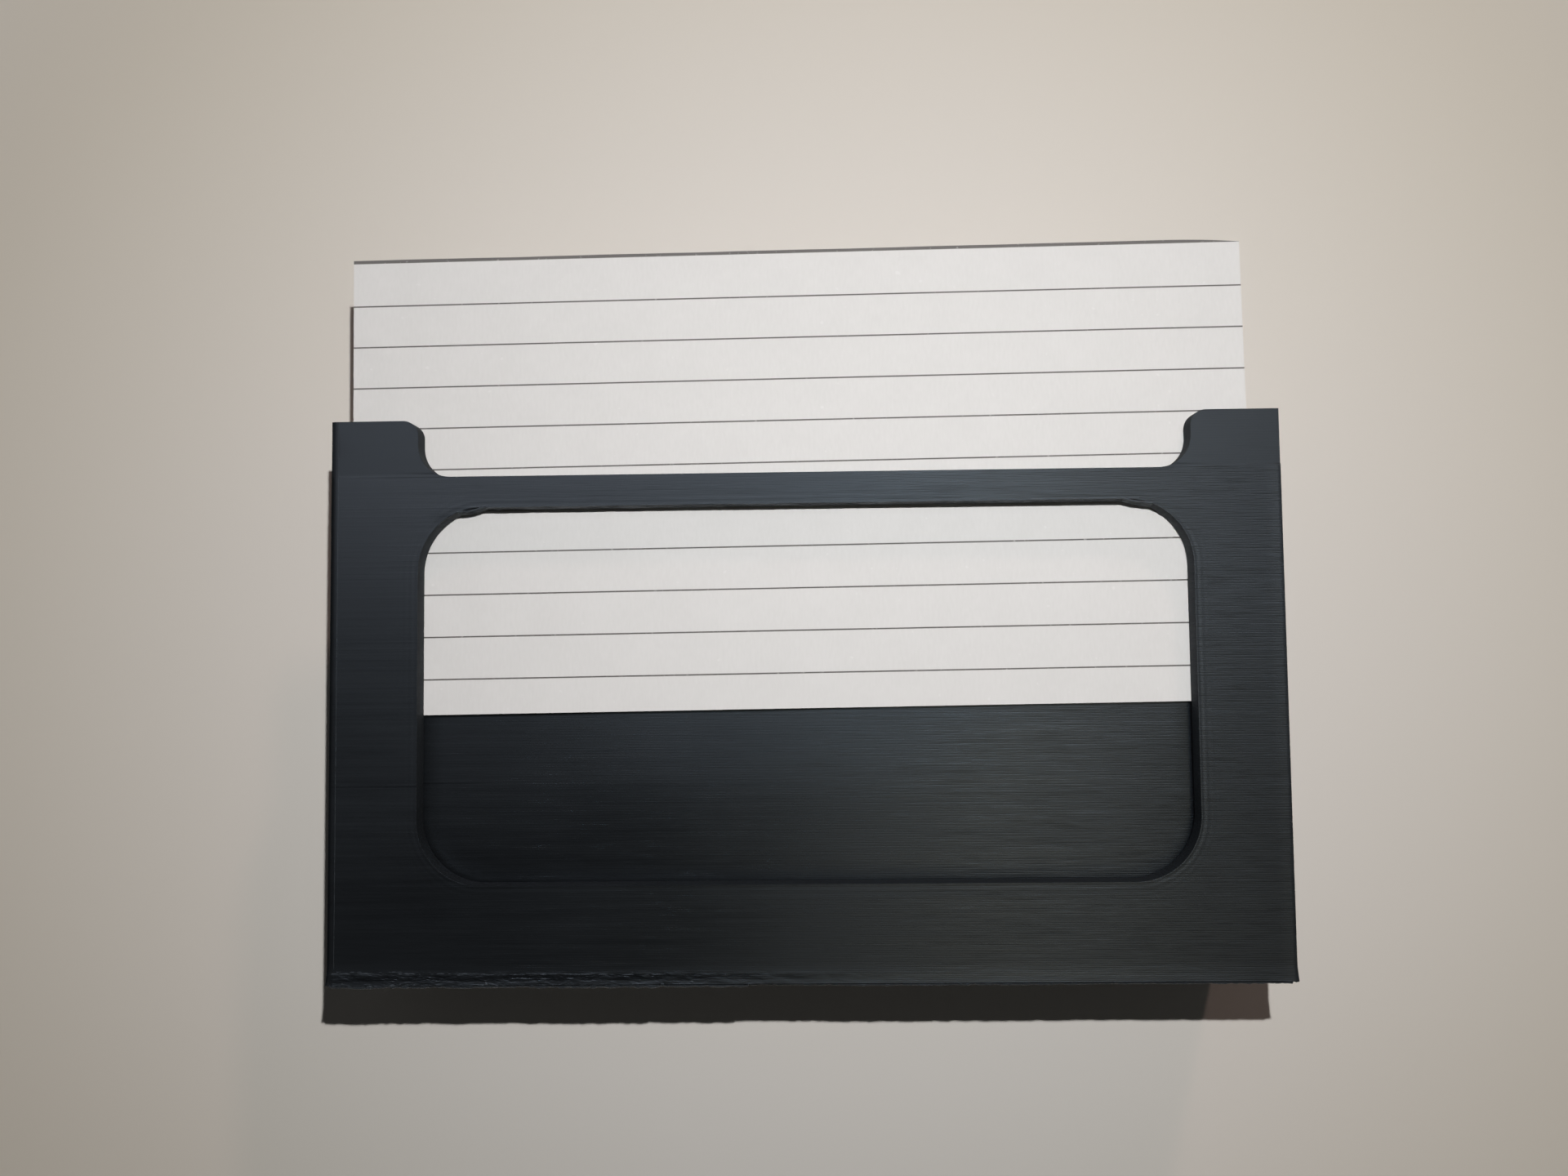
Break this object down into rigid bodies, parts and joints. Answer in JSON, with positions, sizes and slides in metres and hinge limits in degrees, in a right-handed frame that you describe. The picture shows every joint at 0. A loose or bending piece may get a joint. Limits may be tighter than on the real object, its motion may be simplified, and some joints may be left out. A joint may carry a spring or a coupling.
{
  "type": "flashcard holder",
  "caption": "Upright printed holder with a window frame, a narrow display slot for one ruled card, a deep deck bay behind it and a finger notch across the mouth.",
  "frame": {"origin": "middle of the flat back face, which lies on the desk", "axes": "+X to the right seen from the front, +Y out of the card mouth, +Z out of the window"},
  "size_m": [0.1318, 0.1031, 0.03],
  "materials": {
    "black_print": "satin black print with fine layer lines",
    "card_paper": "smooth white card stock with thin grey rules"
  },
  "bodies": {
    "holder": {"printed_holder": "black_print"},
    "display_card": {"display_card": "card_paper"},
    "deck_card_01": {"deck_card_01": "card_paper"},
    "deck_card_02": {"deck_card_02": "card_paper"},
    "deck_card_03": {"deck_card_03": "card_paper"},
    "deck_card_04": {"deck_card_04": "card_paper"},
    "deck_card_05": {"deck_card_05": "card_paper"},
    "deck_card_06": {"deck_card_06": "card_paper"},
    "deck_card_07": {"deck_card_07": "card_paper"},
    "deck_card_08": {"deck_card_08": "card_paper"}
  },
  "joints": [
    {"name": "display_card_slide", "type": "slide", "parent": "holder", "child": "display_card", "axis": [0, 1, 0], "range_m": [-0.0348, 0.042]},
    {"name": "deck_card_01_slide", "type": "slide", "parent": "holder", "child": "deck_card_01", "axis": [0, 1, 0], "range_m": [0, 0.078]},
    {"name": "deck_card_02_slide", "type": "slide", "parent": "holder", "child": "deck_card_02", "axis": [0, 1, 0], "range_m": [0, 0.078]},
    {"name": "deck_card_03_slide", "type": "slide", "parent": "holder", "child": "deck_card_03", "axis": [0, 1, 0], "range_m": [0, 0.078]},
    {"name": "deck_card_04_slide", "type": "slide", "parent": "holder", "child": "deck_card_04", "axis": [0, 1, 0], "range_m": [0, 0.078]},
    {"name": "deck_card_05_slide", "type": "slide", "parent": "holder", "child": "deck_card_05", "axis": [0, 1, 0], "range_m": [0, 0.078]},
    {"name": "deck_card_06_slide", "type": "slide", "parent": "holder", "child": "deck_card_06", "axis": [0, 1, 0], "range_m": [0, 0.078]},
    {"name": "deck_card_07_slide", "type": "slide", "parent": "holder", "child": "deck_card_07", "axis": [0, 1, 0], "range_m": [0, 0.078]},
    {"name": "deck_card_08_slide", "type": "slide", "parent": "holder", "child": "deck_card_08", "axis": [0, 1, 0], "range_m": [0, 0.078]}
  ]
}
